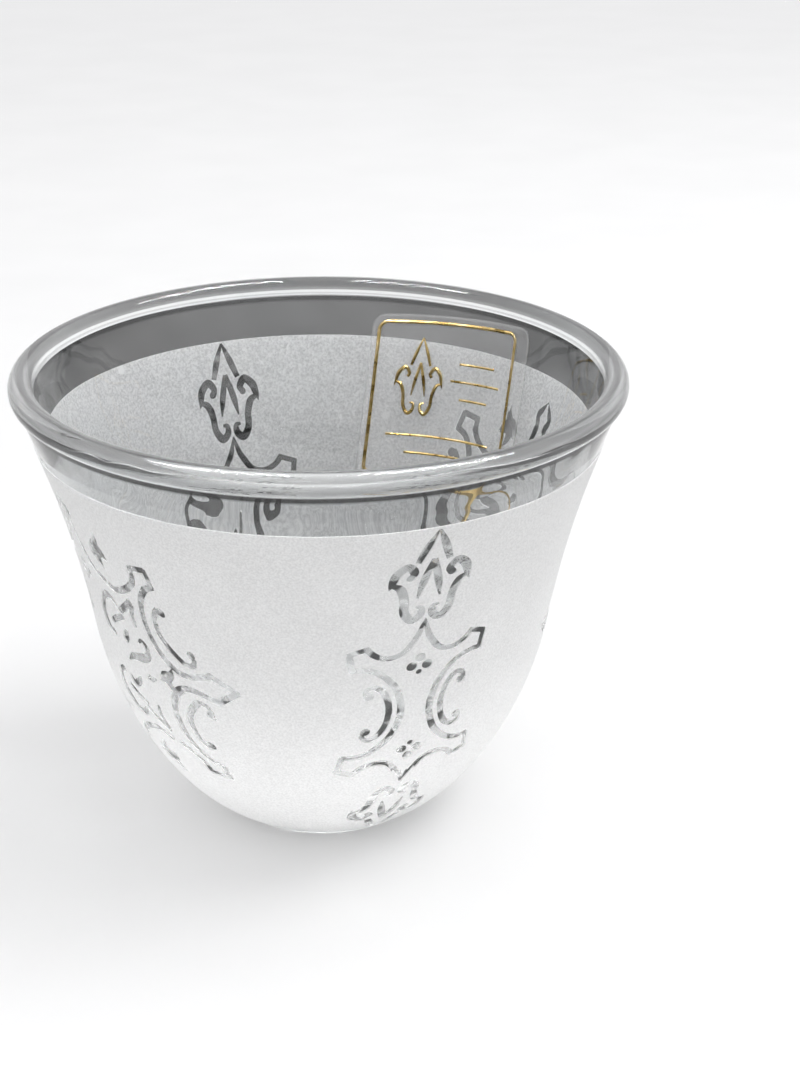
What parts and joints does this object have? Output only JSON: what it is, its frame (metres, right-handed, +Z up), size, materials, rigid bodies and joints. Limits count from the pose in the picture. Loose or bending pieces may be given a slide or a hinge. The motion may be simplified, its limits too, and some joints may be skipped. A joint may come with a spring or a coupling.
{
  "type": "coffee cup",
  "caption": "Small handleless glass coffee cup with a flared wall, beaded rim, frosted outside with clear ornament and a foil-edged clear label inside; holds a serving of hot coffee.",
  "frame": {"origin": "centre of the base, on the plane the cup stands on", "axes": "+Z up along the axis of the bowl, -Y to the side that faces the viewer, +X to the viewer's right"},
  "size_m": [0.066, 0.066, 0.052],
  "materials": {
    "clear_glass": "smooth clear pressed glass",
    "frosted_glass": "fine-grained white frost",
    "clear_film": "thin clear self-adhesive film",
    "gold_foil": "gold-coloured foil print"
  },
  "bodies": {
    "root": {"glass_bowl": "clear_glass", "frost_coat": "frosted_glass", "label_film": "clear_film", "label_foil": "gold_foil"}
  },
  "joints": []
}
